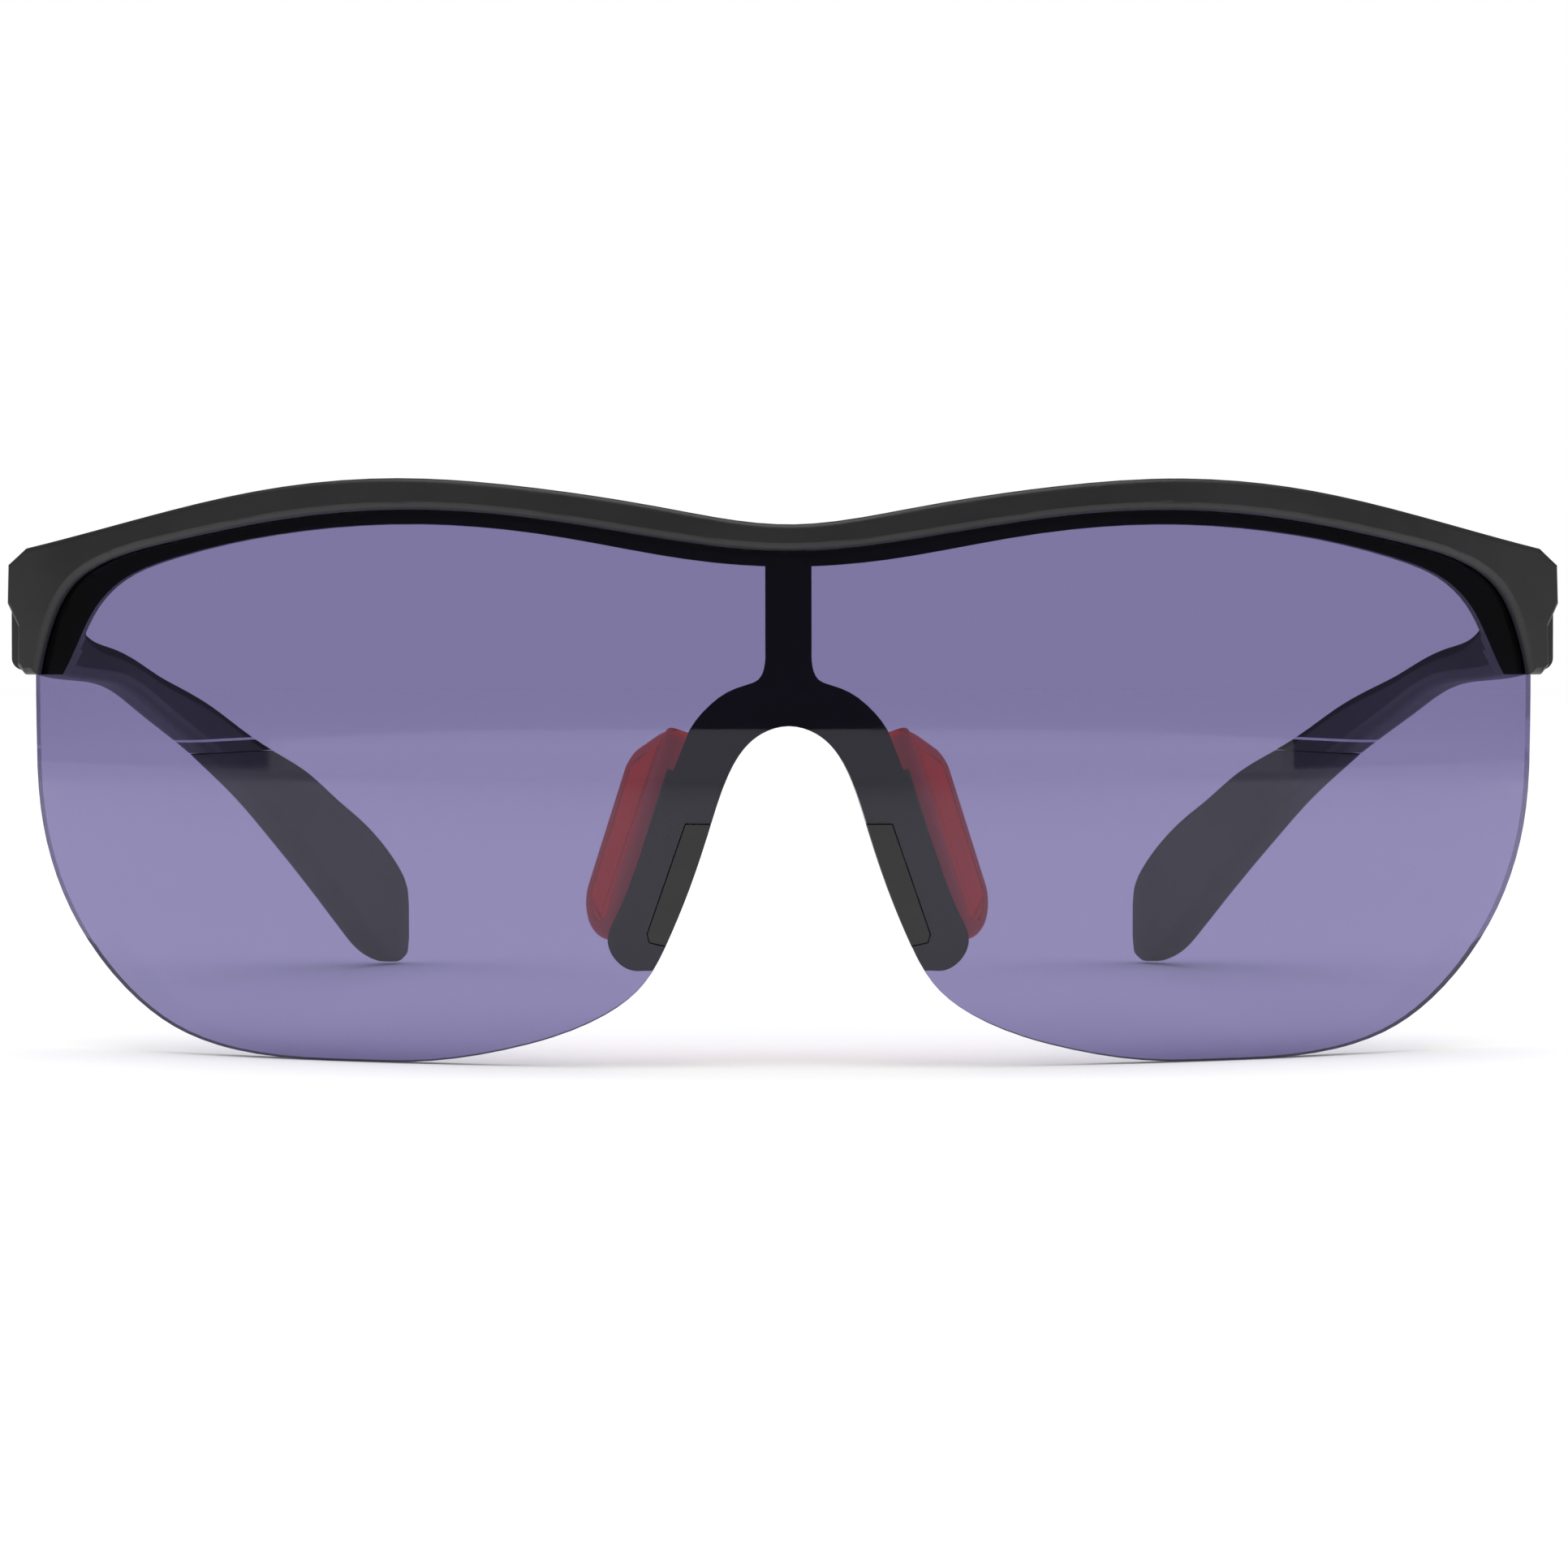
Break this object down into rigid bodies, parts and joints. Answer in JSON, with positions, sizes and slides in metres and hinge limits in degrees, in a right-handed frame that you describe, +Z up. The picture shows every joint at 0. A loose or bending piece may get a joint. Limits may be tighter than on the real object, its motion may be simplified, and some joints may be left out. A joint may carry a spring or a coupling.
{
  "type": "wraparound sport sunglasses",
  "caption": "Wraparound sport sunglasses with a tinted shield lens, half-rim brow, swivelling red nose pads and folding temples with rubber tips.",
  "frame": {"origin": "centre of the bounding box in plan, on the surface that the lens and the temple tips rest on, temples open", "axes": "+Z up, +Y from the lens back towards the temple tips, +X towards the wearer's left"},
  "size_m": [0.1434, 0.1547, 0.0512],
  "materials": {
    "front_frame": "matte injection-moulded nylon",
    "shield_lens": "tinted clear polycarbonate, polished",
    "nose_bracket": "satin moulded nylon",
    "nose_rubber": "matte red soft rubber",
    "pad_insert": "satin moulded nylon",
    "hinge_steel": "satin stainless steel",
    "screw_steel": "black-oxide steel",
    "washer": "natural nylon",
    "temple_plastic": "matte moulded nylon",
    "tip_rubber": "matte soft rubber",
    "accent": "satin light grey plastic"
  },
  "bodies": {
    "front": {"front_frame": "front_frame", "shield_lens": "shield_lens", "nose_leg_left": "nose_bracket", "nose_leg_right": "nose_bracket", "front_hinge_left": "hinge_steel", "front_hinge_right": "hinge_steel", "hinge_screw_left": "screw_steel", "hinge_screw_right": "screw_steel", "hinge_washers_left": "washer", "hinge_washers_right": "washer", "front_rivets_left": "screw_steel", "front_rivets_right": "screw_steel"},
    "temple_left": {"temple_arm_left": "temple_plastic", "temple_tip_left": "tip_rubber", "temple_hinge_left": "hinge_steel", "temple_rivets_left": "screw_steel", "temple_accent_left": "accent"},
    "temple_right": {"temple_arm_right": "temple_plastic", "temple_tip_right": "tip_rubber", "temple_hinge_right": "hinge_steel", "temple_rivets_right": "screw_steel", "temple_accent_right": "accent"},
    "pad_left": {"nose_pad_left": "nose_rubber", "pad_insert_left": "pad_insert"},
    "pad_right": {"nose_pad_right": "nose_rubber", "pad_insert_right": "pad_insert"}
  },
  "joints": [
    {"name": "left_temple_fold", "type": "hinge", "parent": "front", "child": "temple_left", "pos_m": [0.067, -0.0404, 0.0395], "axis": [0, 0, 1], "range_deg": [0, 84]},
    {"name": "right_temple_fold", "type": "hinge", "parent": "front", "child": "temple_right", "pos_m": [-0.067, -0.0404, 0.0395], "axis": [0, 0, -1], "range_deg": [0, 77]},
    {"name": "left_pad_swivel", "type": "hinge", "parent": "front", "child": "pad_left", "pos_m": [0.0106, -0.071, 0.019], "axis": [-0.3007, 0, 0.9537], "range_deg": [-8, 8]},
    {"name": "right_pad_swivel", "type": "hinge", "parent": "front", "child": "pad_right", "pos_m": [-0.0106, -0.071, 0.019], "axis": [0.3007, 0, 0.9537], "range_deg": [-8, 8]}
  ]
}
